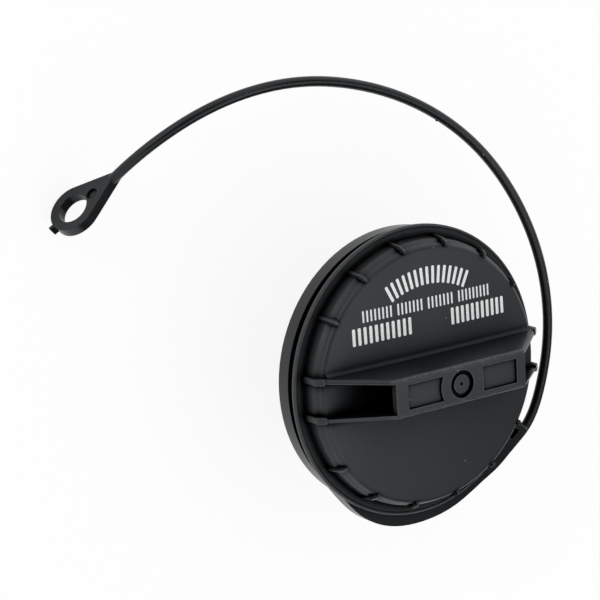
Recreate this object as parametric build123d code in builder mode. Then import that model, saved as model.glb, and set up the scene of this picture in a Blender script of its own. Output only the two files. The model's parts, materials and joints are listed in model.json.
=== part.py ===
from build123d import *
import math
import os

os.makedirs("parts", exist_ok=True)

# ---------------------------------------------------------------------------
# Fuel filler cap, standing on the end of its plug. +Z runs up the cap's axis,
# +X runs along the grip bar, z = 0 is the end face of the plug.
# ---------------------------------------------------------------------------

# Fits
RUN = 0.08          # radial gap of a turning fit
CLEAR = 0.30        # gap between faces that never touch
SHARE = 0.25        # how far one moulded feature sinks into the next

# Radial stack: pivot pin, return spring, drive lugs, keeper, pawls, collar,
# skirt, tether ring and flange, each one outside the last
pin_r = 4.0
boss_wall = 5.0
boss_r = pin_r + boss_wall
spring_wire = 1.1
spring_r = boss_r + 2.0
post_in_r = spring_r + 1.2
post_t = 1.4
fin_t = 2.0
lug_in_r = post_in_r + post_t + 1.0
lug_t = 3.8
lug_out_r = lug_in_r + lug_t
keep_bore_r = lug_out_r + 2.6
keep_lip = 2.4
keep_rim_r = keep_bore_r + keep_lip
hub_r = keep_rim_r + 0.6
pawl_hoop = 2.4
pawl_ring_r = hub_r + pawl_hoop
arm_r = pawl_ring_r + 2.5
collar_bore_r = arm_r + 1.7
collar_wall = 2.4
collar_r = collar_bore_r + collar_wall
keep_skirt = 1.2
lid_r = collar_r + keep_skirt + 1.2
skirt_bore_r = lid_r + RUN
skirt_wall = 2.22
skirt_r = skirt_bore_r + skirt_wall
ring_wall = 2.87
ring_in_r = skirt_r + RUN
ring_r = ring_in_r + ring_wall
flange_lip = 1.35
flange_r = ring_r + flange_lip

# Head, from the table up
flange_top = 41.2
flange_t = 1.7
face_rise = 6.45
face_step = 4.6
face_r = flange_r - face_step
face_crown = 0.8
wall_foot_r = face_r + 1.3
rim_round = 1.6
face_z = flange_top + face_rise
shell_t = 2.2
cavity_top = face_z - shell_t
neck_r = skirt_r + 1.5

# Grip bar on the face
plate_len = 45.0
plate_w = 11.1
plate_t = 2.0
grip_rise = 14.25
grip_z = face_z + grip_rise
tip_x = wall_foot_r + 0.3
tip_z = face_z - 0.4
tip_w = plate_w + 1.6
grip_wall = 1.25
edge_r = 1.0
foot_r = 1.2
foot_x = face_r - 1.8

# Recesses in the grip plate
recess_t = 0.6
recess_w = 6.9
recess_arc_r = 7.3
recess_far_x = 18.5
recess_near_x = 7.5
gate_well_r = 3.95
gate_well_t = 1.0
gate_button_r = gate_well_r - 1.25
gate_dot_r = 0.5

# Rim ribs
rib_pitch = 22.5
rib_w = 1.5
rib_edge = 0.35
ribs_each_side = 6

# Tether: ring under the flange, lobe, strap and eyelet
ring_h = 4.6
ring_top = flange_top - 5.25
ring_bottom = ring_top - ring_h
strap_d = 2.9
strap_z = ring_bottom + ring_h / 2
eye_hole_r = 4.45
eye_wall = 2.62
eye_r = eye_hole_r + eye_wall
eye_t = 2.95
eye_neck = 14.45
eye_tip_r = 0.5
pocket_t = 3.4
skirt_bottom = ring_bottom - 0.95
shoulder_z = ring_top + CLEAR

# Closure body
seat_top = ring_bottom + 0.25
lid_t = 2.2
lid_top = seat_top + lid_t
neck_od_r = 18.2
neck_wall = 2.4
tube_r = neck_od_r - neck_wall
thread_depth = 1.9
thread_pitch = 6.35
thread_turns = 1.75
thread_z = 12.5
collar_h = 5.4
collar_top = lid_top + collar_h
tooth_count = 30
tooth_h = 1.1
tooth_z = 3.2

# Neck seal
seal_in_r = neck_od_r + 0.25
seal_width = 6.55
seal_out_r = seal_in_r + seal_width
seal_h = 3.4

# Drive hub, keys and pawls
hub_disc_t = 2.6
hub_disc_top = lid_top + hub_disc_t
boss_top = lid_top + 7.4
lug_half = 10.0
lost_motion = 30.0
stop_gap = 0.6
keep_t = 1.4
key_count = 4
key_half = 4.0
key_h = 1.2
pawl_t = 2.4
arm_t = 1.2
arm_start = 9.0
arm_span = 50.9

# Return spring
spring_turns = 3.75
spring_foot = hub_disc_top + 0.1
spring_top = lid_top + 9.6
spring_leg = 2.4
spring_foot_deg = 0
spring_end_deg = 270
fin_step = 6.5

# Vent valve inside the neck
web_z = 12.0
web_t = 4.0
bead_h = 0.6
bead_r = 9.8
web_bore_r = bead_r - 1.2
seat_disc_t = 1.2
seat_disc_r = bead_r + 2.8
poppet_r = 5.2
poppet_t = 1.4
seat_disc_bore_r = poppet_r - 1.3
plate_r = tube_r - 0.9
plate_disc_t = 1.6
plate_bore_r = poppet_r + 0.2
plate_collar_t = 1.5
plate_collar_h = 4.6
pressure_wire = 1.1
pressure_spring_r = plate_bore_r + plate_collar_t + 2.7
spring_seat_z = 29.4
keeper_t = 1.8
keeper_bore_r = 5.0
stem_r = 1.25
stem_h = 5.6
guide_r = stem_r + 1.45
guide_h = 1.6
spoke_w = 1.4
vacuum_wire = 0.45
vacuum_spring_r = stem_r + 0.95
clip_r = vacuum_spring_r + 1.0
clip_t = 0.6

# Rollover ball and the end plate
end_plate_t = 2.4
end_recess_r = tube_r + 0.7
slot_out_r = tube_r - 2.6
ball_r = 3.4
ball_floor_z = end_plate_t + 1.0
roll_seat_t = 1.2
roll_bore_r = ball_r - 0.6


def polar(r, deg):
    """Point at radius r and angle deg in the XY plane."""
    return (r * math.cos(math.radians(deg)), r * math.sin(math.radians(deg)))


def box_at(x0, x1, y0, y1, z0, z1, mode=Mode.ADD):
    """Axis-aligned block between two corners."""
    with Locations(((x0 + x1) / 2, (y0 + y1) / 2, (z0 + z1) / 2)):
        Box(x1 - x0, y1 - y0, z1 - z0, mode=mode)


def disc_at(r, z0, z1, mode=Mode.ADD):
    """Cylinder on the cap's axis between two heights."""
    with Locations((0, 0, (z0 + z1) / 2)):
        Cylinder(r, z1 - z0, mode=mode)


def ring_at(r_in, r_out, z0, z1, mode=Mode.ADD):
    """Annulus on the cap's axis between two heights."""
    with BuildSketch(Plane.XY.offset(z0)) as face:
        Circle(r_out)
        Circle(r_in, mode=Mode.SUBTRACT)
    extrude(face.sketch, amount=z1 - z0, mode=mode)


def sector_at(r_in, r_out, deg0, deg1, z0, z1, mode=Mode.ADD):
    """Arc-shaped block: the part of an annulus between two angles."""
    mid = (deg0 + deg1) / 2
    with BuildSketch(Plane.XY.offset(z0)) as face:
        with BuildLine():
            Line(polar(r_in, deg0), polar(r_out, deg0))
            ThreePointArc(polar(r_out, deg0), polar(r_out, mid), polar(r_out, deg1))
            Line(polar(r_out, deg1), polar(r_in, deg1))
            ThreePointArc(polar(r_in, deg1), polar(r_in, mid), polar(r_in, deg0))
        make_face()
    extrude(face.sketch, amount=z1 - z0, mode=mode)


def coil(mean_r, wire_d, z0, z1, turns):
    """Round-wire coil spring between two heights, with open ends."""
    height = z1 - z0 - wire_d
    path = Helix(pitch=height / turns, height=height, radius=mean_r, center=(0, 0, z0 + wire_d / 2))
    with BuildSketch(Plane(origin=path @ 0, z_dir=path % 0)) as wire:
        Circle(wire_d / 2)
    sweep(wire.sketch, path=path, is_frenet=True)


# --- Grip cover: face, ribs, grip bar, flange and skirt in one moulding -----

with BuildPart() as grip_cover:
    with BuildSketch(Plane.XZ):
        with BuildLine():
            ThreePointArc(
                (0, face_z + face_crown),
                (face_r / 2, face_z + 0.74 * face_crown),
                (face_r - rim_round, face_z),
            )
            ThreePointArc(
                (face_r - rim_round, face_z),
                (face_r - 0.29 * rim_round, face_z - 0.28 * rim_round),
                (face_r, face_z - 0.94 * rim_round),
            )
            Polyline(
                (face_r, face_z - 0.94 * rim_round),
                (face_r + 0.05, face_z - 1.85),
                (face_r + 0.9, face_z - 3.1),
                (wall_foot_r, flange_top - 0.2),
                (flange_r - 1.0, flange_top - 0.2),
                (flange_r - 0.75, flange_top),
                (flange_r - 0.35, flange_top),
                (flange_r, flange_top - 0.4),
                (flange_r, flange_top - flange_t + 0.4),
                (flange_r - 0.4, flange_top - flange_t),
                (neck_r, flange_top - flange_t),
                (neck_r, shoulder_z),
                (skirt_r, shoulder_z),
                (skirt_r, ring_bottom),
                (skirt_r + 0.7, ring_bottom),
                (skirt_r + 0.7, ring_bottom - 0.35),
                (skirt_r + 0.1, skirt_bottom),
                (skirt_bore_r - 0.4, skirt_bottom),
                (skirt_bore_r - 0.8, skirt_bottom + 0.4),
                (skirt_bore_r - 0.8, seat_top),
                (skirt_bore_r, seat_top),
                (skirt_bore_r, cavity_top - 1.5),
                (skirt_bore_r - 1.5, cavity_top),
                (0, cavity_top),
                (0, face_z + face_crown),
            )
        make_face()
    revolve(axis=Axis.Z)
    # grip walls: upright at the rim, then leaning in to the ends of the plate
    for side in (1, -1):
        foot_y = side * (tip_w - grip_wall) / 2
        head_y = side * (plate_w - grip_wall) / 2
        box_at(
            -tip_x, tip_x, foot_y - grip_wall / 2, foot_y + grip_wall / 2,
            flange_top - SHARE, tip_z,
        )
        with BuildSketch(Plane.XY.offset(tip_z)):
            with Locations((0, foot_y)):
                Rectangle(2 * tip_x, grip_wall)
        with BuildSketch(Plane.XY.offset(grip_z)):
            with Locations((0, head_y)):
                Rectangle(plate_len, grip_wall)
        loft()
    # plate across the walls
    box_at(-plate_len / 2, plate_len / 2, -plate_w / 2, plate_w / 2, grip_z - plate_t, grip_z)
    # the walls stop at the inside of the shell
    with BuildSketch(Plane.XZ):
        with BuildLine():
            Polyline(
                (0, flange_top - 2),
                (skirt_bore_r, flange_top - 2),
                (skirt_bore_r, cavity_top - 1.5),
                (skirt_bore_r - 1.5, cavity_top),
                (0, cavity_top),
                close=True,
            )
        make_face()
    revolve(axis=Axis.Z, mode=Mode.SUBTRACT)
    # rim ribs
    for k in range(ribs_each_side):
        for base in (90, 270):
            turn = base + (k - (ribs_each_side - 1) / 2) * rib_pitch
            for narrow in (0, rib_edge):
                low = rib_edge - narrow
                with BuildSketch(Plane.XZ.rotated((0, 0, turn))):
                    with BuildLine():
                        Polyline(
                            (face_r - 0.95 + low, face_z - 1.2),
                            (face_r - 0.95 + low, face_z + 0.1 - low),
                            (face_r - 0.4 + low, face_z + 0.6 - low),
                            (face_r + 0.4 - low / 2, face_z + 0.45 - low),
                            (wall_foot_r + 0.15 - low, face_z - 1.6),
                            (wall_foot_r + 0.7 - low, flange_top - SHARE),
                            (face_r - 0.5, flange_top - SHARE),
                            close=True,
                        )
                    make_face()
                extrude(amount=rib_w / 2 - narrow, both=True)
    # soft edges along the plate and where the walls lean
    grip_edges = grip_cover.edges().filter_by(
        lambda e: e.center().Z > face_z + 2.5 and abs(e.center().Y) > plate_w / 2 - 0.05
        and abs(e.center().X) < tip_x - 1
    )
    fillet(grip_edges, radius=edge_r)
    # hollow corner where each grip wall stands on the dome of the face
    for side in (1, -1):
        with BuildLine():
            foot = ThreePointArc(
                (-foot_x, side * tip_w / 2, face_z - 0.03),
                (0, side * tip_w / 2, face_z + 0.97 * face_crown),
                (foot_x, side * tip_w / 2, face_z - 0.03),
            )
        with BuildSketch(Plane(origin=foot @ 0, x_dir=(0, side, 0), z_dir=foot % 0)):
            with BuildLine():
                Polyline(
                    (foot_r, -side * 0.02),
                    (foot_r, -side * SHARE),
                    (-SHARE, -side * SHARE),
                    (-SHARE, side * foot_r),
                    (-0.06, side * foot_r),
                )
                ThreePointArc(
                    (-0.06, side * foot_r),
                    (0.29 * foot_r, side * 0.29 * foot_r),
                    (foot_r, -side * 0.02),
                )
            make_face()
        sweep(path=foot)
    # recess with an arc end, left of the middle
    with BuildSketch(Plane.XY.offset(grip_z - recess_t)):
        with Locations((-(recess_far_x + recess_arc_r) / 2 + 0.6, 0)):
            Rectangle(recess_far_x - recess_arc_r + 1.2, recess_w)
        Circle(recess_arc_r, mode=Mode.SUBTRACT)
    extrude(amount=recess_t + SHARE, mode=Mode.SUBTRACT)
    # plain recess, right of the middle
    box_at(
        recess_near_x, recess_far_x + 0.9, -recess_w / 2, recess_w / 2,
        grip_z - recess_t, grip_z + SHARE, mode=Mode.SUBTRACT,
    )
    # gate well with its button and centre dimple
    disc_at(gate_well_r, grip_z - gate_well_t, grip_z + SHARE, mode=Mode.SUBTRACT)
    disc_at(gate_button_r, grip_z - gate_well_t - SHARE, grip_z - 0.35)
    disc_at(gate_dot_r, grip_z - 0.75, grip_z, mode=Mode.SUBTRACT)
    # pivot pin and the two drive lugs under the face
    disc_at(pin_r, lid_top + 1.0, cavity_top + SHARE)
    for base in (0, 180):
        sector_at(
            lug_in_r, lug_out_r, base - lug_half, base + lug_half,
            lid_top + CLEAR, cavity_top + SHARE,
        )
    # two fins that hold the upper leg of the return spring
    for step in (-fin_step, fin_step):
        sector_at(
            post_in_r, post_in_r + fin_t, spring_end_deg + step - 2, spring_end_deg + step + 2,
            spring_top - 2.2, cavity_top + SHARE,
        )
grip_cover.part.label = "grip_cover"
export_step(grip_cover.part, "parts/grip_cover.step")


# --- Tether: ring, lobe, strap and eyelet moulded in one ---------------------

# lobe outline round the ring: radius at each angle, from where it leaves the
# ring to where the strap begins
lobe_edge = [
    (ring_r + 0.05, -130),
    (ring_r + 1.65, -122.5),
    (ring_r + 3.55, -115),
    (ring_r + 5.65, -103),
    (ring_r + 6.55, -86),
    (ring_r + 6.85, -70),
    (ring_r + 7.15, -56),
    (ring_r + 8.15, -49.8),
    (ring_r + 9.2, -42.1),
    (ring_r + 10.35, -37.1),
    (ring_r + 11.4, -32.1),
]

# strap centre line beyond the lobe, heights from the ring's middle
strap_route = [
    (40.7, -30.7, 0.0),
    (45.8, -26.4, 0.0),
    (51.2, -16.0, 0.0),
    (54.7, 0.0, 0.0),
    (53.5, 18.5, 0.0),
    (46.3, 38.3, 0.0),
    (31.9, 58.3, 0.0),
    (11.3, 73.8, 0.0),
    (-13.9, 83.3, 0.0),
    (-34.6, 85.5, -0.5),
    (-50.3, 83.0, -3.2),
    (-61.7, 78.2, -7.2),
    (-71.8, 70.9, -13.3),
]

# eyelet: centre, the way to the strap, and the way its face looks
eye_centre = Vector(-86.7, 55.9, strap_z - 25.7)
eye_to_strap = Vector(0.711, 0.590, 0.382).normalized()
eye_side = Vector(-0.692, 0.683, 0.234).cross(eye_to_strap).normalized()
eye_face = eye_to_strap.cross(eye_side)
eye_plane = Plane(origin=eye_centre, x_dir=eye_to_strap, z_dir=eye_face)

with BuildPart() as tether:
    ring_at(ring_in_r, ring_r, ring_bottom, ring_top)
    with BuildSketch(Plane.XY.offset(ring_bottom)):
        with BuildLine():
            outer = Spline(*[polar(r, deg) for r, deg in lobe_edge])
            tip = Line(outer @ 1, polar(ring_r + 7.2, -31.2))
            root = ThreePointArc(tip @ 1, polar(ring_r + 2.6, -32.0), polar(ring_r - 0.8, -34.5))
            ThreePointArc(root @ 1, polar(ring_r - 0.8, -84), polar(ring_r - 0.8, -130))
            Line(polar(ring_r - 0.8, -130), outer @ 0)
        make_face()
    extrude(amount=ring_h)
    # soften the tongue's end before the strap takes over
    tongue = tether.edges().filter_by(
        lambda e: e.center().X > 42 and e.center().Y > -30 and abs(e.center().Z - strap_z) > 1
    )
    chamfer(tongue, length=0.7)
    # pocket between the ring and the root of the strap
    with BuildSketch(Plane.XY.offset(ring_top - pocket_t)):
        with BuildLine():
            Polyline(
                polar(ring_r + 0.9, -38.4),
                polar(ring_r + 7.25, -38.4),
                polar(ring_r + 8.45, -34.3),
                polar(ring_r + 0.9, -34.3),
                close=True,
            )
        make_face()
    extrude(amount=pocket_t + SHARE, mode=Mode.SUBTRACT)
    # strap
    with BuildLine():
        stops = [Vector(x, y, strap_z + dz) for x, y, dz in strap_route]
        route = Spline(*stops, eye_centre + eye_to_strap * (eye_neck - 1.5))
    with BuildSketch(Plane(origin=route @ 0, z_dir=route % 0)):
        Circle(strap_d / 2)
    sweep(path=route)
    # eyelet
    with BuildSketch(eye_plane.offset(-eye_t / 2)):
        Circle(eye_r)
        with Locations((eye_neck, 0)):
            Circle(eye_tip_r)
        make_hull()
        Circle(eye_hole_r, mode=Mode.SUBTRACT)
    extrude(amount=eye_t)
    # gate nub at the eyelet's tip
    with BuildSketch(eye_plane.offset(0.2 - eye_t / 2)):
        with Locations((-eye_r - 0.4, -0.1)):
            Rectangle(2.0, 1.0)
    extrude(amount=eye_t - 0.4)
    # ejector mark
    with BuildSketch(eye_plane.offset(eye_t / 2 - 0.6)):
        with Locations((eye_r - 0.55, -0.6)):
            Circle(1.65)
    extrude(amount=0.6 + SHARE, mode=Mode.SUBTRACT)
tether.part.label = "tether"
export_step(tether.part, "parts/tether.step")


# --- Closure body: threaded neck, lid and ratchet collar ---------------------

with BuildPart() as closure_body:
    with BuildSketch(Plane.XZ):
        with BuildLine():
            Polyline(
                (end_recess_r, 0),
                (neck_od_r - 0.9, 0),
                (neck_od_r - 0.3, 0.6),
                (neck_od_r - 0.3, thread_z - 2.5),
                (neck_od_r, thread_z - 2.2),
                (neck_od_r, seat_top - 0.6),
                (neck_od_r + 0.2, seat_top),
                (lid_r - 0.9, seat_top),
                (lid_r, seat_top),
                (lid_r, lid_top - 0.5),
                (lid_r - 0.5, lid_top),
                (collar_r, lid_top),
                (collar_r, collar_top),
                (collar_bore_r, collar_top),
                (collar_bore_r, lid_top),
                (tube_r, lid_top),
                (tube_r, web_z + web_t),
                (bead_r + 0.4, web_z + web_t),
                (bead_r + 0.3, web_z + web_t + bead_h),
                (bead_r - 0.3, web_z + web_t + bead_h),
                (bead_r - 0.4, web_z + web_t),
                (web_bore_r, web_z + web_t),
                (web_bore_r, web_z),
                (tube_r, web_z),
                (tube_r, end_plate_t),
                (end_recess_r, end_plate_t),
                close=True,
            )
        make_face()
    revolve(axis=Axis.Z)
    # closing thread: a trapezium carried up a helix
    helix_path = Helix(
        pitch=thread_pitch,
        height=thread_pitch * thread_turns,
        radius=neck_od_r,
        center=(0, 0, thread_z),
    )
    with BuildSketch(Plane(origin=helix_path @ 0, x_dir=(1, 0, 0), z_dir=helix_path % 0)):
        with BuildLine():
            Polyline(
                (-SHARE, -1.7),
                (thread_depth, -0.7),
                (thread_depth, 0.7),
                (-SHARE, 1.7),
                close=True,
            )
        make_face()
    sweep(path=helix_path, is_frenet=True)
    # ratchet teeth face inwards
    for k in range(tooth_count):
        turn = k * 360 / tooth_count
        with BuildSketch(Plane.XY.offset(lid_top - SHARE)):
            with BuildLine():
                Polyline(
                    polar(collar_bore_r + SHARE, turn),
                    polar(collar_bore_r - tooth_h, turn),
                    polar(collar_bore_r + SHARE, turn + 7.5),
                    close=True,
                )
            make_face()
        extrude(amount=tooth_z + SHARE)
closure_body.part.label = "closure_body"
export_step(closure_body.part, "parts/closure_body.step")


# --- Neck seal: moulded rubber ring under the lid ----------------------------

with BuildPart() as neck_seal:
    with BuildSketch(Plane.XZ):
        with BuildLine():
            Polyline(
                (seal_in_r + 0.4, seat_top),
                (seal_out_r, seat_top),
                (seal_out_r, seat_top - 1.4),
            )
            ThreePointArc(
                (seal_out_r, seat_top - 1.4),
                ((seal_in_r + seal_out_r) / 2, seat_top - seal_h),
                (seal_in_r, seat_top - 1.4),
            )
            Polyline(
                (seal_in_r, seat_top - 1.4),
                (seal_in_r, seat_top - 0.4),
                (seal_in_r + 0.4, seat_top),
            )
        make_face()
    revolve(axis=Axis.Z)
neck_seal.part.label = "neck_seal"
export_step(neck_seal.part, "parts/neck_seal.step")


# --- Drive hub: disc with lost-motion windows, boss and keys -----------------

with BuildPart() as drive_hub:
    disc_at(hub_r, lid_top, hub_disc_top)
    ring_at(keep_rim_r - 1.6, keep_rim_r, hub_disc_top - SHARE, collar_top)
    disc_at(boss_r, hub_disc_top - SHARE, boss_top)
    for k in range(key_count):
        mid = 45 + k * 360 / key_count
        sector_at(hub_r - SHARE, hub_r + key_h, mid - key_half, mid + key_half, lid_top, hub_disc_top)
    for base in (0, 180):
        sector_at(
            lug_in_r - 0.5, lug_out_r + 0.5,
            base - lug_half - stop_gap, base + lug_half + lost_motion + stop_gap,
            lid_top - SHARE, hub_disc_top + SHARE, mode=Mode.SUBTRACT,
        )
    # posts that hold the lower leg of the return spring
    for step in (-fin_step, fin_step):
        sector_at(
            post_in_r, post_in_r + post_t, spring_foot_deg + step - 2, spring_foot_deg + step + 2,
            hub_disc_top - SHARE, hub_disc_top + 2.0,
        )
    # vent holes round the boss
    with Locations((0, 0, lid_top + hub_disc_t / 2)):
        with PolarLocations(spring_r + 1.0, 4, start_angle=72):
            Cylinder(1.3, hub_disc_t + 2 * SHARE, mode=Mode.SUBTRACT)
    disc_at(pin_r + RUN, lid_top - SHARE, boss_top + SHARE, mode=Mode.SUBTRACT)
drive_hub.part.label = "drive_hub"
export_step(drive_hub.part, "parts/drive_hub.step")


# --- Pawl ring: springy arms that click over the ratchet teeth ---------------

with BuildPart() as pawl_ring:
    ring_at(hub_r + 0.15, pawl_ring_r, lid_top, lid_top + pawl_t)
    for k in range(key_count):
        mid = 45 + k * 360 / key_count
        sector_at(
            hub_r, hub_r + key_h + 0.15, mid - key_half - 0.5, mid + key_half + 0.5,
            lid_top - SHARE, lid_top + pawl_t + SHARE, mode=Mode.SUBTRACT,
        )
        arm = k * 360 / key_count + arm_start
        sector_at(pawl_ring_r - SHARE, arm_r, arm, arm + 6, lid_top, lid_top + pawl_t)
        sector_at(arm_r - arm_t, arm_r, arm, arm + arm_span, lid_top, lid_top + pawl_t)
        tip = arm + arm_span
        with BuildSketch(Plane.XY.offset(lid_top)):
            with BuildLine():
                Polyline(
                    polar(arm_r - SHARE, tip - 5.5),
                    polar(arm_r - SHARE, tip),
                    polar(collar_bore_r - tooth_h / 2, tip),
                    close=True,
                )
            make_face()
        extrude(amount=pawl_t)
pawl_ring.part.label = "pawl_ring"
export_step(pawl_ring.part, "parts/pawl_ring.step")


# --- Keeper ring that holds the hub down on the lid --------------------------

with BuildPart() as hub_keeper:
    ring_at(keep_bore_r, collar_r, collar_top, collar_top + keep_t)
    ring_at(collar_r + 0.15, collar_r + keep_skirt + 0.15, collar_top - 2.4, collar_top + keep_t)
    ring_at(collar_r - 0.5, collar_r + 0.4, collar_top, collar_top + keep_t)
hub_keeper.part.label = "hub_keeper"
export_step(hub_keeper.part, "parts/hub_keeper.step")


# --- Return spring: turns the grip back through the lost motion --------------

with BuildPart() as return_spring:
    coil(spring_r, spring_wire, spring_foot, spring_top, spring_turns)
    legs = (
        (spring_foot_deg, spring_foot + spring_wire / 2),
        (spring_end_deg, spring_top - spring_wire / 2),
    )
    for deg, z in legs:
        start = Vector(*polar(spring_r - 0.1, deg), z)
        with BuildSketch(Plane(origin=start, z_dir=Vector(*polar(1, deg), 0))):
            Circle(spring_wire / 2)
        extrude(amount=spring_leg)
return_spring.part.label = "return_spring"
export_step(return_spring.part, "parts/return_spring.step")


# --- Vent valve, from the web up ---------------------------------------------

seat_z = web_z + web_t + bead_h
plate_z = seat_z + seat_disc_t
plate_top = plate_z + plate_disc_t

with BuildPart() as valve_seal:
    ring_at(seat_disc_bore_r, seat_disc_r, seat_z, plate_z)
valve_seal.part.label = "valve_seal"
export_step(valve_seal.part, "parts/valve_seal.step")

with BuildPart() as pressure_plate:
    ring_at(plate_bore_r, plate_r, plate_z, plate_top)
    ring_at(
        plate_bore_r, plate_bore_r + plate_collar_t,
        plate_top - SHARE, plate_top + plate_collar_h,
    )
    # stem guide on three spokes
    ring_at(stem_r + RUN, guide_r, plate_top, plate_top + guide_h)
    for k in range(3):
        with BuildSketch(Plane.XY.offset(plate_top)):
            with Locations(Location((0, 0, 0), (0, 0, 120 * k))):
                with Locations(((guide_r + plate_bore_r) / 2, 0)):
                    Rectangle(plate_bore_r - guide_r + 2 * SHARE, spoke_w)
        extrude(amount=guide_h)
pressure_plate.part.label = "pressure_plate"
export_step(pressure_plate.part, "parts/pressure_plate.step")

with BuildPart() as pressure_spring:
    coil(pressure_spring_r, pressure_wire, plate_top, spring_seat_z, 5)
pressure_spring.part.label = "pressure_spring"
export_step(pressure_spring.part, "parts/pressure_spring.step")

with BuildPart() as spring_keeper:
    disc_at(tube_r - 0.3, spring_seat_z, spring_seat_z + keeper_t)
    with Locations((0, 0, spring_seat_z + keeper_t / 2)):
        Cylinder(keeper_bore_r, keeper_t + 2 * SHARE, mode=Mode.SUBTRACT)
        with PolarLocations(tube_r - 3.2, 6):
            Cylinder(1.5, keeper_t + 2 * SHARE, mode=Mode.SUBTRACT)
spring_keeper.part.label = "spring_keeper"
export_step(spring_keeper.part, "parts/spring_keeper.step")

stem_top = plate_top + guide_h + stem_h
clip_z = stem_top - 2 * clip_t

with BuildPart() as vacuum_poppet:
    disc_at(poppet_r, seat_z - poppet_t, seat_z)
    disc_at(stem_r, seat_z - SHARE, stem_top)
    disc_at(stem_r - 0.25, clip_z - 0.1, clip_z + 0.7)
vacuum_poppet.part.label = "vacuum_poppet"
export_step(vacuum_poppet.part, "parts/vacuum_poppet.step")

with BuildPart() as stem_clip:
    ring_at(stem_r, clip_r, clip_z, clip_z + clip_t)
stem_clip.part.label = "stem_clip"
export_step(stem_clip.part, "parts/stem_clip.step")

with BuildPart() as vacuum_spring:
    coil(vacuum_spring_r, vacuum_wire, plate_top + guide_h, clip_z, 5)
vacuum_spring.part.label = "vacuum_spring"
export_step(vacuum_spring.part, "parts/vacuum_spring.step")


# --- Rollover ball, its seat and the caged end plate --------------------------

with BuildPart() as rollover_seat:
    disc_at(tube_r - 0.3, web_z - roll_seat_t, web_z)
    disc_at(roll_bore_r, web_z - roll_seat_t - SHARE, web_z + SHARE, mode=Mode.SUBTRACT)
rollover_seat.part.label = "rollover_seat"
export_step(rollover_seat.part, "parts/rollover_seat.step")

with BuildPart() as rollover_ball:
    with Locations((0, 0, ball_floor_z + ball_r)):
        Sphere(ball_r)
rollover_ball.part.label = "rollover_ball"
export_step(rollover_ball.part, "parts/rollover_ball.step")

with BuildPart() as end_plate:
    disc_at(end_recess_r - 0.1, 0, end_plate_t)
    disc_at(ball_r / 2, end_plate_t - SHARE, ball_floor_z)
    for k in range(4):
        sector_at(
            ball_r + 0.4, ball_r + 1.8, 90 * k + 25, 90 * k + 65,
            end_plate_t - SHARE, ball_floor_z + 2 * ball_r - 1.2,
        )
    for k in range(6):
        sector_at(
            ball_r + 4.2, slot_out_r, 60 * k + 9, 60 * k + 51,
            -SHARE, end_plate_t + SHARE, mode=Mode.SUBTRACT,
        )
end_plate.part.label = "end_plate"
export_step(end_plate.part, "parts/end_plate.step")
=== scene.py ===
# %% [markdown]
# # Fuel filler cap with its tether
#
# The cap is a screw-in closure for a car's filler neck. A black nylon head with
# a grip bar turns a hidden hub, and a thin strap keeps the cap with the car.
# The solids come from the imported CAD model and stay where they are. This file gives them their surfaces,
# puts a welded copy in place of each spring, adds the printed marks and the small moulding details, and
# sets up a plain pale studio.

# %% The frame and the size of the solids
import json
import math

import bmesh
import bpy
import numpy as np
from mathutils import Matrix, Vector


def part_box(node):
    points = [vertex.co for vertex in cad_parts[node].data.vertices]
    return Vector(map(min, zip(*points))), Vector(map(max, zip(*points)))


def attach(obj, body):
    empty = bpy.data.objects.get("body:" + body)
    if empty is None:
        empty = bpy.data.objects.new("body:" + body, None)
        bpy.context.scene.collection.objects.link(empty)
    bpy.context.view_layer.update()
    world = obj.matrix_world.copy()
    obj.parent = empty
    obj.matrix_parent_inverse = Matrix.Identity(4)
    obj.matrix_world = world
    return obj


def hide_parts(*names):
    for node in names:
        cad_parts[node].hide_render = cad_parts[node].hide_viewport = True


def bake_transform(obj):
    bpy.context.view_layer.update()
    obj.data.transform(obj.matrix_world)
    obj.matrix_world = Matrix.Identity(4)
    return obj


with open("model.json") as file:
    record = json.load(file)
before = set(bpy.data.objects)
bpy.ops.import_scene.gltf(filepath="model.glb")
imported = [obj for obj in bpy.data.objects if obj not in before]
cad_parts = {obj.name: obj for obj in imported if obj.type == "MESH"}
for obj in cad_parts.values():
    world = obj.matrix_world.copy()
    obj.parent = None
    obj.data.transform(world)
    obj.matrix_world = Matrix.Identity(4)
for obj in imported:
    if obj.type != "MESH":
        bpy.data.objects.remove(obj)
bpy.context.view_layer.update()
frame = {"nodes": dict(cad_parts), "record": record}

MM = 0.001
nodes = frame["nodes"]

# %% [markdown]
# ## Sizes shared with the solids
#
# A new piece has to sit on the solid that carries it, so its heights are read
# from the solids' own boxes where they can be, and otherwise named here once:
# the grip stands 14.25 mm over the face, and the face 6.45 mm over the flange.

# %% Sizes read from the frame
head_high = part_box("grip_cover")[1]
FLANGE_R = head_high.x
GRIP_TOP = head_high.z
GRIP_RISE = 14.25 * MM
FACE_RISE = 6.45 * MM
FACE_Z = GRIP_TOP - GRIP_RISE
FLANGE_TOP = FACE_Z - FACE_RISE
print("flange radius, mm:", round(FLANGE_R / MM, 2), "flange height, mm:", round(FLANGE_TOP / MM, 2))

# %% [markdown]
# ## The camera
#
# The cap is shown lying on the end of its plug, so the camera looks down on it
# and is rolled until the grip bar runs nearly level. A rotation is three unit
# arrows: the camera's right, its up, and the way back towards it. Written as the
# columns of a matrix they place the camera without any angles.

# %% Camera
CAMERA_AT = Vector((-359.5, 163.8, 488.1)) * MM + Vector((0, 0, FLANGE_TOP))
CAMERA_RIGHT = Vector((0.826, -0.062, 0.561))
CAMERA_UP = Vector((0.178, 0.972, -0.154))
CAMERA_LENS = 132.5
SENSOR_WIDTH = 36.0
CAMERA_CLIP = (0.01, 20.0)


def square_axes(right, up):
    """Three unit arrows at right angles: right is kept, up loses its part along
    right, and back is right crossed with up."""
    right = right.normalized()
    up = (up - up.dot(right) * right).normalized()
    return right, up, right.cross(up)


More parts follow.
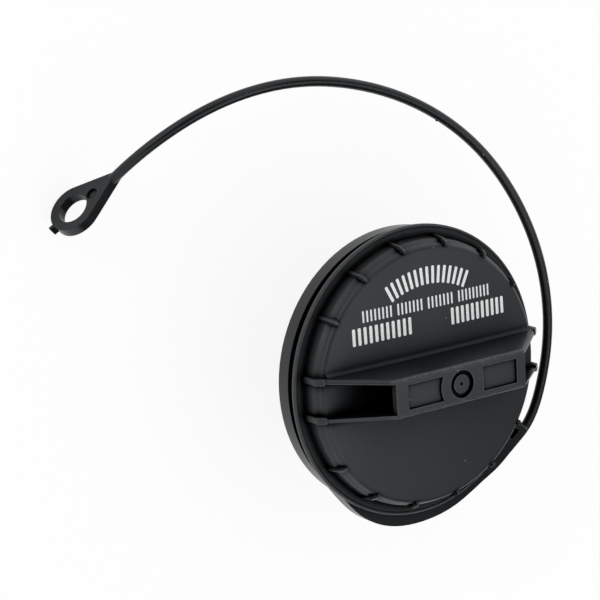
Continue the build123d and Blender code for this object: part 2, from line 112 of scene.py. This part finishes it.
def put(name, data):
    """A new object for this mesh, camera or lamp, at the origin of the scene."""
    thing = bpy.data.objects.new(name, data)
    bpy.context.scene.collection.objects.link(thing)
    return thing


def make_camera():
    data = bpy.data.cameras.new("view")
    data.lens = CAMERA_LENS
    data.sensor_width = SENSOR_WIDTH
    data.clip_start, data.clip_end = CAMERA_CLIP
    camera = put("view", data)
    turn = Matrix(square_axes(CAMERA_RIGHT, CAMERA_UP)).transposed()
    camera.matrix_world = Matrix.Translation(CAMERA_AT) @ turn.to_4x4()
    bpy.context.scene.camera = camera
    return camera


camera = make_camera()
print("camera is", round(camera.location.length, 3), "m from the plug's end")

# %% [markdown]
# ## Colours and nodes
#
# Colours are written as sRGB hex, the way a paint or screen colour is read, and
# one function turns them to the linear values that the renderer counts in. One
# more function adds a shader node, sets what it is given and links its inputs,
# so each material below reads as a list of what the plastic is made of. A Map
# Range node between two limits is the commonest, so span() writes its sockets.

# %% Helpers for materials and meshes
def linear(code):
    """Linear colour of an sRGB hex code. Each channel c is c / 12.92 below
    0.04045, and ((c + 0.055) / 1.055) to the power 2.4 above it."""
    parts = [int(code[k:k + 2], 16) / 255 for k in (1, 3, 5)]
    return tuple(c / 12.92 if c < 0.04045 else ((c + 0.055) / 1.055) ** 2.4 for c in parts) + (1.0,)


def add(tree, kind, links=None, sockets=None, **settings):
    """A node of this kind, with its settings, its socket values, and its inputs
    linked from other nodes' outputs."""
    node = tree.nodes.new("ShaderNode" + kind)
    for name, value in settings.items():
        setattr(node, name, value)
    for name, value in (sockets or {}).items():
        node.inputs[name].default_value = value
    for name, source in (links or {}).items():
        tree.links.new(source, node.inputs[name])
    return node


def new_material(name):
    """An empty node material and its tree, with only an output left in it."""
    material = bpy.data.materials.new(name)
    material.use_nodes = True
    tree = material.node_tree
    tree.nodes.clear()
    return material, tree, add(tree, "OutputMaterial")


def waves_per_metre(size_mm):
    """Noise scale whose features are about size_mm across: 1 / size in metres."""
    return 1.0 / (size_mm * MM)


def span(low, high, at_low=0.0, at_high=1.0):
    """Sockets of a Map Range node: a straight line from at_low, at or below low,
    to at_high, at or above high."""
    return {"From Min": low, "From Max": high, "To Min": at_low, "To Max": at_high}


def put_mesh(name, points, faces, material):
    """An object with a new mesh of these points, in metres, and one material."""
    mesh = bpy.data.meshes.new(name)
    mesh.from_pydata(points, [], faces)
    mesh.materials.append(material)
    return put(name, mesh)


# %% [markdown]
# ## Black moulded nylon
#
# The head is glass-filled nylon from a spark-eroded mould. The mould's fine pits
# leave a grain of about four tenths of a millimetre, which breaks up the
# reflection and makes the black look charcoal. Resin flows unevenly, so the gloss
# varies over a few centimetres.
#
# Two masks tell the paler places from the painted shade. A normal that is rounded over a short reach
# differs from the true normal only near an edge, so their difference marks the corners, and a band along
# the grip plate's long edges is added to them; both are painted paler, partly as the rub of hands and
# boxes and partly as a painted highlight. The share of open sky is low where walls stand close, and there
# the colour and shine are darkened towards black with that share, as painted shade. It is taken twice,
# within 2.6 mm for the narrow crevices, where the paler corners fade too, and within 26 mm for the grip's
# hollow and the ground beside tall walls.

# %% Where the plastic is painted paler: partly wear, partly painted highlight
RAY_SAMPLES = 6
# Corners and plate edges are painted paler, partly as wear and partly as a painted highlight: the reach,
# band, heights, noise and limits of that mark.
WEAR_AND_HIGHLIGHT_REACH = 0.8 * MM
CORNER_SPAN = (0.02, 0.2)
PLATE_HALF = 5.55 * MM
RUB_BAND = 1.3 * MM
RUB_FULL = 0.3 * RUB_BAND
WEAR_AND_HIGHLIGHT_FOOT = GRIP_TOP - 1.4 * MM
WEAR_AND_HIGHLIGHT_HEAD = GRIP_TOP - 0.4 * MM
PLATE_EDGE_SHARE = 0.7
PATCH_MM = 1.4
PATCH_SPAN = (0.4, 0.62, 0.35, 1.0)
WEAR_AND_HIGHLIGHT_SKY = (0.72, 0.88)


def edge_mask(tree, reach):
    """0 on open surface and more towards a corner: 1 less the dot product of the
    true normal with a normal that is rounded over reach."""
    true_normal = add(tree, "NewGeometry").outputs["Normal"]
    soft_normal = add(tree, "Bevel", sockets={"Radius": reach}, samples=RAY_SAMPLES).outputs["Normal"]
    close = add(tree, "VectorMath", {0: true_normal, 1: soft_normal}, operation="DOT_PRODUCT")
    return add(tree, "Math", {1: close.outputs["Value"]}, {0: 1.0}, operation="SUBTRACT").outputs[0]


def plate_edge_wear_and_highlight(tree, place):
    """0 to 1 along the long edges of the grip plate, which run PLATE_HALF from the
    bar's middle: from 0 at RUB_BAND inside an edge to 1 at RUB_FULL inside it,
    times a rise from 0 at WEAR_AND_HIGHLIGHT_FOOT to 1 at WEAR_AND_HIGHLIGHT_HEAD."""
    # A band painted paler along the plate's long edges: partly the rub of hands, partly a painted
    # highlight.
    spot = add(tree, "SeparateXYZ", {"Vector": place}).outputs
    across = add(tree, "Math", {0: spot["Y"]}, operation="ABSOLUTE").outputs[0]
    side = add(tree, "MapRange", {"Value": across}, span(PLATE_HALF - RUB_BAND, PLATE_HALF - RUB_FULL))
    high = add(tree, "MapRange", {"Value": spot["Z"]}, span(WEAR_AND_HIGHLIGHT_FOOT, WEAR_AND_HIGHLIGHT_HEAD))
    return add(tree, "Math", {0: side.outputs["Result"], 1: high.outputs["Result"]},
               operation="MULTIPLY").outputs[0]


def wear_and_highlight_mask(tree, place, near, wear_and_highlight):
    """0 to 1 where the plastic is painted paler, partly as wear and partly as a painted highlight: the
    stronger of the corners and the plate's edges, times its strength, times the noise patches, times the
    open sky."""
    corners = add(tree, "MapRange", {"Value": edge_mask(tree, WEAR_AND_HIGHLIGHT_REACH)},
                  span(*CORNER_SPAN, 0.0, wear_and_highlight)).outputs["Result"]
    plate_edges = add(tree, "Math", {0: plate_edge_wear_and_highlight(tree, place)}, {1: PLATE_EDGE_SHARE * wear_and_highlight},
               operation="MULTIPLY").outputs[0]
    patch_noise = add(tree, "TexNoise", {"Vector": place}, {
        "Scale": waves_per_metre(PATCH_MM), "Detail": 4.0, "Roughness": 0.7}).outputs["Fac"]
    patchy = add(tree, "MapRange", {"Value": patch_noise}, span(*PATCH_SPAN)).outputs["Result"]
    sky = add(tree, "MapRange", {"Value": near}, span(*WEAR_AND_HIGHLIGHT_SKY)).outputs["Result"]
    paler_share = add(tree, "Math", {0: corners, 1: plate_edges}, operation="MAXIMUM").outputs[0]
    for share in (patchy, sky):
        paler_share = add(tree, "Math", {0: paler_share, 1: share}, operation="MULTIPLY").outputs[0]
    return paler_share


# The band along each plate edge is painted paler, partly as wear and partly as a painted highlight.
print("the hand's rub is", round(RUB_BAND / MM, 1), "mm wide on each edge of the plate")

# %% The moulded plastic
PLASTIC_IOR = 1.53
COOL_SHINE = "#eff6fc"
DUST = "#a9aaaa"
# Painted shade in crevices and beside tall walls: the black it fades to, the reaches at which open sky is
# measured, and its limits.
PAINTED_SHADE_BLACK = "#000000"
NEAR_SKY = 2.6 * MM
NEAR_OPEN = 0.94
FAR_SKY = 26.0 * MM
FAR_SPAN = (0.25, 0.95, 0.05, 1.0)
CLOUD_MM = 26.0
CLOUD_SPAN = (0.3, 0.7)
CLOUD_SHADE = 0.86
CLOUD_GLOSS = (-0.03, 0.04)
FLECK_GAP_MM = 6.0
FLECK_SPAN = (0.014, 0.034, 1.0, 0.0)


def moulded(name, colour, worn_and_highlight_colour, roughness, grain_mm, grain_depth_mm, edge_mm, wear_and_highlight,
            shine=0.5, painted_shade_limits=(0.2, 0.8)):
    """A moulded plastic: colour with a faint cloud, spark-eroded grain as bump, softened corners, corners
    and plate edges painted paler where their strength is above zero, partly as wear and partly as a
    painted highlight, and a fleck of dust every few centimetres. Shine 0.5 is the plastic's plain
    reflection. Crevices, the grip's hollow and the ground beside tall walls take painted shade: the first
    number of the last argument is how little open sky makes a full crevice, and the second is the share of
    the colour and shine that is left in it. What is left of both is the near share times the far share,
    each of them a straight line from full shade to open."""
    material, tree, out = new_material(name)
    place = add(tree, "TexCoord").outputs["Object"]
    near, far = (add(tree, "AmbientOcclusion", sockets={"Distance": reach},
                     samples=RAY_SAMPLES).outputs["AO"] for reach in (NEAR_SKY, FAR_SKY))

    cloud = add(tree, "TexNoise", {"Vector": place}, {
        "Scale": waves_per_metre(CLOUD_MM), "Detail": 2.0, "Roughness": 0.5}).outputs["Fac"]
    fleck = add(tree, "TexVoronoi", {"Vector": place}, {
        "Scale": waves_per_metre(FLECK_GAP_MM)}).outputs["Distance"]
    clouded = add(tree, "MapRange", {"Value": cloud}, span(*CLOUD_SPAN)).outputs["Result"]
    dusty = add(tree, "MapRange", {"Value": fleck}, span(*FLECK_SPAN)).outputs["Result"]
    body = linear(colour)
    clean = add(tree, "Mix", {"Factor": clouded}, {
        "A": body, "B": tuple(CLOUD_SHADE * c for c in body[:3]) + (1.0,)}, data_type="RGBA")
    dusted = add(tree, "Mix", {"Factor": dusty, "A": clean.outputs["Result"]},
                 {"B": linear(DUST)}, data_type="RGBA")
    # Corners and plate edges painted paler: partly wear, partly a painted highlight.
    shade = add(tree, "Mix", {"Factor": wear_and_highlight_mask(tree, place, near, wear_and_highlight),
                              "A": dusted.outputs["Result"]}, {"B": linear(worn_and_highlight_colour)}, data_type="RGBA")

    # Painted shade: colour and shine fade towards black where open sky closes in, near and far.
    close = add(tree, "MapRange", {"Value": near}, span(painted_shade_limits[0], NEAR_OPEN, painted_shade_limits[1], 1.0))
    wide = add(tree, "MapRange", {"Value": far}, span(*FAR_SPAN))
    share_left_by_painted_shade = add(tree, "Math", {0: close.outputs["Result"], 1: wide.outputs["Result"]},
              operation="MULTIPLY").outputs[0]
    seen = add(tree, "Mix", {"Factor": share_left_by_painted_shade, "B": shade.outputs["Result"]}, {"A": linear(PAINTED_SHADE_BLACK)},
               data_type="RGBA")
    level = add(tree, "Math", {0: share_left_by_painted_shade}, {1: shine}, operation="MULTIPLY")

    gloss = add(tree, "MapRange", {"Value": cloud}, span(
        *CLOUD_SPAN, roughness + CLOUD_GLOSS[0], roughness + CLOUD_GLOSS[1]))
    grain = add(tree, "TexNoise", {"Vector": place}, {
        "Scale": waves_per_metre(grain_mm), "Detail": 3.0, "Roughness": 0.6})
    soft_normal = add(tree, "Bevel", sockets={"Radius": edge_mm * MM}, samples=RAY_SAMPLES)
    bump = add(tree, "Bump", {"Height": grain.outputs["Fac"], "Normal": soft_normal.outputs["Normal"]},
               {"Strength": 1.0, "Distance": grain_depth_mm * MM})
    surface = add(tree, "BsdfPrincipled", {
        "Base Color": seen.outputs["Result"], "Roughness": gloss.outputs["Result"],
        "Normal": bump.outputs["Normal"], "Specular IOR Level": level.outputs[0]},
        {"IOR": PLASTIC_IOR, "Specular Tint": linear(COOL_SHINE)})
    tree.links.new(surface.outputs["BSDF"], out.inputs["Surface"])
    return material


# %% [markdown]
# ## Plain steel
#
# The springs are drawn wire, and the ball is ground until it is nearly a mirror.
# A metal shows only what it reflects: its base colour tints that reflection, and
# its roughness says how far it spreads. The die and the wheel leave small marks,
# so the roughness of both steels varies a little, over about half a millimetre.

# %% Steel, drawn or ground
MARK_MM = 0.6
MARK_GLOSS = (-0.05, 0.08)


def worked_steel(name, colour, roughness):
    """A drawn or ground steel: its roughness plus MARK_GLOSS, by a fine noise."""
    material, tree, out = new_material(name)
    place = add(tree, "TexCoord").outputs["Object"]
    marks = add(tree, "TexNoise", {"Vector": place}, {
        "Scale": waves_per_metre(MARK_MM), "Detail": 3.0})
    gloss = add(tree, "MapRange", {"Value": marks.outputs["Fac"]}, span(
        0.0, 1.0, roughness + MARK_GLOSS[0], roughness + MARK_GLOSS[1]))
    surface = add(tree, "BsdfPrincipled", {"Roughness": gloss.outputs["Result"]},
                  {"Base Color": linear(colour), "Metallic": 1.0})
    tree.links.new(surface.outputs["BSDF"], out.inputs["Surface"])
    return material


# %% The finish of every slot
# Every moulded finish takes painted shade in crevices and beside tall walls, and its corners are painted
# paler, partly as wear and partly as a painted highlight.
finishes = {
    # glass-filled nylon: charcoal black, semi-matt, visible grain, corners painted paler as wear and as a
    # painted highlight, and strong painted shade in its crevices
    "black_nylon": moulded(
        "glass_filled_nylon", "#202224", "#7d7f81", roughness=0.42, grain_mm=0.42,
        grain_depth_mm=0.006, edge_mm=0.35, wear_and_highlight=0.45, shine=0.5, painted_shade_limits=(0.64, 0.02)),
    # soft polyester elastomer: a waxier, smoother black
    "black_tether_plastic": moulded(
        "polyester_elastomer", "#131415", "#4c4d4e", roughness=0.28, grain_mm=0.5,
        grain_depth_mm=0.004, edge_mm=0.25, wear_and_highlight=0.15, shine=0.38, painted_shade_limits=(0.1, 0.1)),
    # acetal: dense, slippery and even
    "black_acetal": moulded(
        "black_acetal", "#1a1a1b", "#505152", roughness=0.36, grain_mm=0.4,
        grain_depth_mm=0.002, edge_mm=0.25, wear_and_highlight=0.15),
    "grey_acetal": moulded(
        "grey_acetal", "#9a9c9c", "#b4b5b5", roughness=0.38, grain_mm=0.4,
        grain_depth_mm=0.002, edge_mm=0.2, wear_and_highlight=0.1),
    "natural_acetal": moulded(
        "natural_acetal", "#e4e2da", "#f0eee8", roughness=0.36, grain_mm=0.4,
        grain_depth_mm=0.002, edge_mm=0.2, wear_and_highlight=0.1),
    # nitrile rubber: matt and dusty, with no sharp corner
    "black_rubber": moulded(
        "nitrile_rubber", "#1c1c1c", "#2b2b2b", roughness=0.68, grain_mm=0.25,
        grain_depth_mm=0.005, edge_mm=0.4, wear_and_highlight=0.2),
    # drawn wire and a ground ball: plain steel, the ball nearly a mirror
    "spring_steel": worked_steel("drawn_spring_steel", "#c4c5c6", roughness=0.30),
    "bright_steel": worked_steel("bearing_steel", "#dcdddd", roughness=0.14),
}
print("finishes:", ", ".join(sorted(finishes)))

# %% Each solid takes the finish that its record names
slots = {row["node"]: row["material_slot"] for row in frame["record"]["subparts"]}
for name, solid in nodes.items():
    solid.data.materials.clear()
    solid.data.materials.append(finishes[slots[name]])

# %% [markdown]
# ## Springs as welded copies
#
# A solid spring can ride on one body only, so its far end would be run over when the other body comes
# nearer. A copy of the coil stands for it, welded into one skin with its faces turned outward, while the
# solid spring is hidden; the copy keeps the solid's form.

# %% Spring coils
WELD = 0.001 * MM


def live_coil(node):
    """A copy of a CAD spring, welded into one skin with its faces turned outward, that stands in place of
    the hidden solid and keeps its form."""
    coil = put(node + "_coil", nodes[node].data.copy())
    skin = bmesh.new()
    skin.from_mesh(coil.data)
    bmesh.ops.remove_doubles(skin, verts=skin.verts, dist=WELD)
    bmesh.ops.recalc_face_normals(skin, faces=skin.faces)
    skin.to_mesh(coil.data)
    skin.free()
    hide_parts(node)
    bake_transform(coil)


live_coil("pressure_spring")
live_coil("vacuum_spring")
live_coil("return_spring")

# %% [markdown]
# ## The printed marks
#
# Three rows of plain white ticks are stamped on the face above the grip: one row
# on an arc, one fine row, and one bold row split in two. The ink is a film that
# stands 0.05 mm proud. The face is a dome whose profile is one arc of a circle, so
# the film takes its height from that same arc and never floats or sinks. The
# print is laid out in millimetres, and only its finished points become metres.

# %% The dome of the face
FACE_R = 37.4
DOME_RISE = 0.8
DOME_HALFWAY = 0.74
DOME_EDGE = 1.6


def circle_through(p, q, s):
    """Centre and radius of the circle through three points (r, z). The centre is
    as far from p as from q and from s, which is two linear equations."""
    p, q, s = (np.array(v, float) for v in (p, q, s))
    centre = np.linalg.solve(2 * np.array([q - p, s - p]), [q @ q - p @ p, s @ s - p @ p])
    return centre, np.hypot(*(p - centre))


DOME = circle_through((0, DOME_RISE), (FACE_R / 2, DOME_HALFWAY * DOME_RISE), (FACE_R - DOME_EDGE, 0))


def dome_height(x, y):
    """Height in mm of the dome over the face's rim, at x, y in mm: the circle's
    top, z = zc + sqrt(R^2 - (r - rc)^2) with r the distance from the axis."""
    (rc, zc), big_r = DOME
    return zc + np.sqrt(big_r ** 2 - (np.hypot(x, y) - rc) ** 2)


print("dome's radius, mm:", round(float(DOME[1])),
      "height at 20 mm out:", round(float(dome_height(20, 0)), 3))

# %% Ticks: rounded bars on a line or on an arc
def bar_outline(width, height, round_share=0.35, corners=5):
    """Closed outline of a bar with round corners, anticlockwise from its lower
    right: four quarter circles of radius round_share times the width."""
    round_r = round_share * width
    turns = [np.linspace(k, k + 1, corners) * np.pi / 2 for k in range(-1, 3)]
    hubs = [(1, -1), (1, 1), (-1, 1), (-1, -1)]
    return np.vstack([
        np.column_stack([sx * (width / 2 - round_r) + round_r * np.cos(t),
                         sy * (height / 2 - round_r) + round_r * np.sin(t)])
        for t, (sx, sy) in zip(turns, hubs)])


def straight_row(y_foot, height, groups):
    """Places (x, y, turn) of upright ticks that stand on the line y = y_foot. A
    group is the x of its first tick, the x of its last, and their number."""
    return [(x, y_foot + height / 2, 0.0)
            for x0, x1, count in groups for x in np.linspace(x0, x1, count)]


def arched_row(foot_r, height, deg0, deg1, count):
    """Places (x, y, turn) of ticks that point at the axis from an arc. A tick at
    angle a leans by a - 90 degrees."""
    reach = foot_r + height / 2
    angles = np.radians(np.linspace(deg0, deg1, count))
    return [(reach * math.cos(a), reach * math.sin(a), a - math.pi / 2) for a in angles]


print("a tick's outline has", len(bar_outline(1.0, 5.0)), "points")

# %% The ink, and the film of one row
FILM_SUNK = 0.04
FILM_PROUD = 0.05
INK_GRAIN_MM = 0.5
INK_SPAN = (0.35, 0.65)
INK_ROUGHNESS = 0.6


def add_film(name, places, tick, material):
    """One mesh of ticks, whose width and height in mm are tick. Every outline is
    turned and moved to its place, laid on the dome, and closed with a top, a rim
    and an underside."""
    outline = bar_outline(*tick)
    n = len(outline)
    verts, faces = [], []
    for x, y, turn in places:
        c, s = math.cos(turn), math.sin(turn)
        flat = outline @ np.array([[c, s], [-s, c]]) + (x, y)
        for lift in (-FILM_SUNK, FILM_PROUD):
            verts.append(np.column_stack([flat, dome_height(flat[:, 0], flat[:, 1]) + lift]))
        low = 2 * n * (len(verts) // 2 - 1)
        high = low + n
        faces.append([high + k for k in range(n)])
        faces.append([low + k for k in reversed(range(n))])
        faces += [[low + k, low + (k + 1) % n, high + (k + 1) % n, high + k] for k in range(n)]
    points = np.vstack(verts) * MM + (0, 0, FACE_Z)
    film = put_mesh(name, points.tolist(), faces, material)
    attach(film, "grip")
    return film


def printed_ink():
    """Pad-printed white ink: matt, a little uneven where the grain shows through."""
    material, tree, out = new_material("pad_printed_ink")
    place = add(tree, "TexCoord").outputs["Object"]
    thin = add(tree, "TexNoise", {"Vector": place}, {
        "Scale": waves_per_metre(INK_GRAIN_MM), "Detail": 3.0}).outputs["Fac"]
    full = add(tree, "MapRange", {"Value": thin}, span(*INK_SPAN)).outputs["Result"]
    shade = add(tree, "Mix", {"Factor": full}, {"A": linear("#e8ebec"), "B": linear("#f8fafa")},
                data_type="RGBA")
    surface = add(tree, "BsdfPrincipled", {"Base Color": shade.outputs["Result"]},
                  {"Roughness": INK_ROUGHNESS})
    tree.links.new(surface.outputs["BSDF"], out.inputs["Surface"])
    return material


# %% The three rows, with the width and height of their ticks
ARCHED_TICK = (0.95, 5.0)
FINE_TICK = (0.55, 3.3)
BOLD_TICK = (1.0, 4.9)
FINE_GROUPS = [(-22.3, -13.0, 8), (-10.5, -2.5, 7), (0.0, 8.2, 7), (10.8, 21.3, 9)]
BOLD_GROUPS = [(-25.8, -6.9, 11), (8.1, 26.2, 11)]

rows = {
    "ink_arched_row": (arched_row(26.3, ARCHED_TICK[1], deg0=117.0, deg1=62.5, count=15), ARCHED_TICK),
    "ink_fine_row": (straight_row(19.3, FINE_TICK[1], FINE_GROUPS), FINE_TICK),
    "ink_bold_row": (straight_row(13.2, BOLD_TICK[1], BOLD_GROUPS), BOLD_TICK),
}
ink = printed_ink()
for name, (places, tick) in rows.items():
    film = add_film(name, places, tick, ink)
    print(name, len(places), "ticks,", len(film.data.vertices), "points")

# %% [markdown]
# ## Feet of the grip walls and the strap's moulding nub
#
# Where a grip wall meets the flange it ends in a short post, thicker than the
# wall, whose top follows the wall's slope. The post is a stack of rings: each
# ring is the same rounded rectangle, drawn in a little more and lifted a little
# more near the top, so the upper edge is round. The nub is the small bead that
# the mould's split leaves on the inner side of the strap.

# %% Posts at the feet of the walls
POST_SIZE = np.array([2.3, 2.0])
POST_END = np.array([39.2, 6.42])
POST_CORNER = 0.18
POST_SUNK = 0.2
POST_DROP = 0.35
POST_EDGE = 0.35
EDGE_STEP = 0.1
WALL_SLOPE = 0.888


def stack_rings(name, rings, slot, body):
    """A closed mesh from rings of equal length: each ring is joined to the next
    by quads, and the first and last are filled."""
    n = len(rings[0])
    points = np.vstack(rings) * MM
    faces = [[r * n + k, r * n + (k + 1) % n, (r + 1) * n + (k + 1) % n, (r + 1) * n + k]
             for r in range(len(rings) - 1) for k in range(n)]
    faces += [list(reversed(range(n))), [(len(rings) - 1) * n + k for k in range(n)]]
    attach(put_mesh(name, points.tolist(), faces, finishes[slot]), body)


def post_rings(side_x, side_y):
    """Rings of one post, in mm. At the wall's tip the top is POST_DROP under the
    face, and it rises by WALL_SLOPE for each mm further in."""
    centre = (POST_END - POST_SIZE / 2) * (side_x, side_y)
    base = bar_outline(*POST_SIZE, POST_CORNER)
    rings = []
    for inset, below in ((0.0, None), (0.0, POST_EDGE), (EDGE_STEP, EDGE_STEP), (POST_EDGE, 0.0)):
        ring = base * (1 - 2 * inset / POST_SIZE) + centre
        top = FACE_Z / MM - POST_DROP + WALL_SLOPE * (POST_END[0] - np.abs(ring[:, 0]))
        z = np.full(len(ring), FLANGE_TOP / MM - POST_SUNK) if below is None else top - below
        rings.append(np.column_stack([ring, z]))
    return rings


for side_x, left_right in ((-1, "left"), (1, "right")):
    for side_y, near_far in ((-1, "near"), (1, "far")):
        stack_rings(f"grip_foot_{left_right}_{near_far}", post_rings(side_x, side_y),
                    "black_nylon", "grip")
print("posts, mm:", POST_SIZE)

# %% Nub on the strap
NUB_AT = np.array([17.0, 68.9, FLANGE_TOP / MM - 7.55])
NUB_SIZE = np.array([0.5, 0.45, 0.45])
NUB_SIDES = 12
NUB_LEVELS = 7


def nub_rings():
    """Rings of a small egg round NUB_AT: at height v, from -1 to 1, a circle of
    radius sqrt(1 - v^2), all scaled by NUB_SIZE."""
    turns = np.linspace(0, 2 * np.pi, NUB_SIDES, endpoint=False)
    return [NUB_AT + NUB_SIZE * np.column_stack([
        math.sqrt(1 - v * v) * np.cos(turns), math.sqrt(1 - v * v) * np.sin(turns),
        np.full(NUB_SIDES, v)]) for v in np.linspace(-1, 1, NUB_LEVELS)[1:-1]]


stack_rings("strap_nub", nub_rings(), "black_tether_plastic", "tether")
print("nub at, mm:", NUB_AT.round(2))

# %% [markdown]
# ## The studio
#
# Black plastic shows almost nothing of its own colour: what the eye reads is the
# four per cent of the surroundings that its surface throws back. A pale, even
# room therefore does most of the work. Three black cards, seen by mirrored rays
# alone, stand where the camera, the far side and the low side of a real studio
# would be dark: they give the strap its dark middle, the face its slow gradient
# and the eyelet its dark flank. Two weak, broad lamps lift the faces and cast the
# soft shadow. The floor is pale too. Most of its brightness is its own, seen only
# by the camera and in reflections, so it stays near white and still takes a faint
# shadow.

# %% Floor and room
FLOOR_HALF = 6.0
FLOOR_OWN_LIGHT = 0.87
FLOOR_PAPER = "#6a6a6a"
ROOM_LEVEL = 0.7


def seen_or_mirrored(tree):
    """1 for a ray from the camera, off a shiny surface or through a clear one,
    and 0 for the rays that carry light to a matt one."""
    path = add(tree, "LightPath").outputs
    seen = path["Is Camera Ray"]
    for kind in ("Is Glossy Ray", "Is Transmission Ray"):
        seen = add(tree, "Math", {0: seen, 1: path[kind]}, operation="MAXIMUM").outputs[0]
    return seen


def rectangle(name, half_x, half_y, material):
    """A flat four-sided mesh round the origin, for the studio only."""
    points = [(-half_x, -half_y, 0), (half_x, -half_y, 0), (half_x, half_y, 0), (-half_x, half_y, 0)]
    sheet = put_mesh(name, points, [(0, 1, 2, 3)], material)
    return sheet


def make_floor():
    """Pale paper with light of its own, as seen or mirrored."""
    material, tree, out = new_material("pale_paper")
    own = add(tree, "Math", {0: seen_or_mirrored(tree)}, {1: FLOOR_OWN_LIGHT}, operation="MULTIPLY")
    glow = add(tree, "Emission", {"Strength": own.outputs[0]}, {"Color": linear("#ffffff")})
    paper = add(tree, "BsdfDiffuse", sockets={"Color": linear(FLOOR_PAPER)})
    both = add(tree, "AddShader", {0: glow.outputs[0], 1: paper.outputs[0]})
    tree.links.new(both.outputs[0], out.inputs["Surface"])
    rectangle("studio_floor", FLOOR_HALF, FLOOR_HALF, material)


def make_world():
    """A pale room: white as seen or mirrored, and ROOM_LEVEL as light."""
    world = bpy.data.worlds.new("pale_room")
    world.use_nodes = True
    tree = world.node_tree
    tree.nodes.clear()
    level = add(tree, "MapRange", {"Value": seen_or_mirrored(tree)}, span(0.0, 1.0, ROOM_LEVEL, 1.0))
    room = add(tree, "Background", {"Strength": level.outputs["Result"]}, {"Color": linear("#ffffff")})
    out = add(tree, "OutputWorld")
    tree.links.new(room.outputs[0], out.inputs["Surface"])
    bpy.context.scene.world = world


make_floor()
make_world()
print("the room lights the cap at", ROOM_LEVEL, "of white")

# %% Lamps and cards
CAP_CENTRE = Vector((0.0, 0.0, FACE_Z))
EYELET = Vector((-0.087, 0.056, 0.01))


def aim_at(thing, place, aim, forward):
    """Moves a thing to place and turns its forward axis towards aim."""
    turn = (Vector(aim) - Vector(place)).to_track_quat(forward, "Y")
    thing.matrix_world = Matrix.Translation(place) @ turn.to_matrix().to_4x4()


def make_lamp(name, place, aim, size, watts):
    """A square area lamp at place, turned so that its -Z axis looks at aim."""
    data = bpy.data.lights.new(name, "AREA")
    data.size = size
    data.energy = watts
    aim_at(put(name, data), place, aim, "-Z")


def make_card(name, place, aim, width, height):
    """A black card at place that faces aim. Only mirrored rays see it, so it
    takes its share out of the reflections and shades nothing."""
    material, tree, out = new_material(name + "_paper")
    black = add(tree, "Emission", sockets={"Strength": 0.0})
    tree.links.new(black.outputs[0], out.inputs["Surface"])
    card = rectangle(name, width / 2, height / 2, material)
    aim_at(card, place, aim, "Z")
    card.visible_camera = card.visible_diffuse = card.visible_shadow = card.visible_transmission = False


toward_camera = (camera.location - CAP_CENTRE).normalized()
make_card("lens_card", CAP_CENTRE + 0.62 * toward_camera, CAP_CENTRE, width=0.62, height=0.62)
make_card("far_card", CAP_CENTRE + Vector((0.30, 0.22, 0.52)), CAP_CENTRE, width=0.4, height=0.4)
make_card("low_card", Vector((0.21, -0.28, 0.22)), EYELET, width=0.68, height=0.38)
make_lamp("key_lamp", CAP_CENTRE + Vector((0.42, -0.42, 0.80)), CAP_CENTRE, size=0.9, watts=1.6)
make_lamp("side_lamp", Vector((-0.75, 0.55, 0.5)), CAP_CENTRE, size=0.5, watts=1.5)
bpy.context.scene.view_settings.view_transform = "Standard"
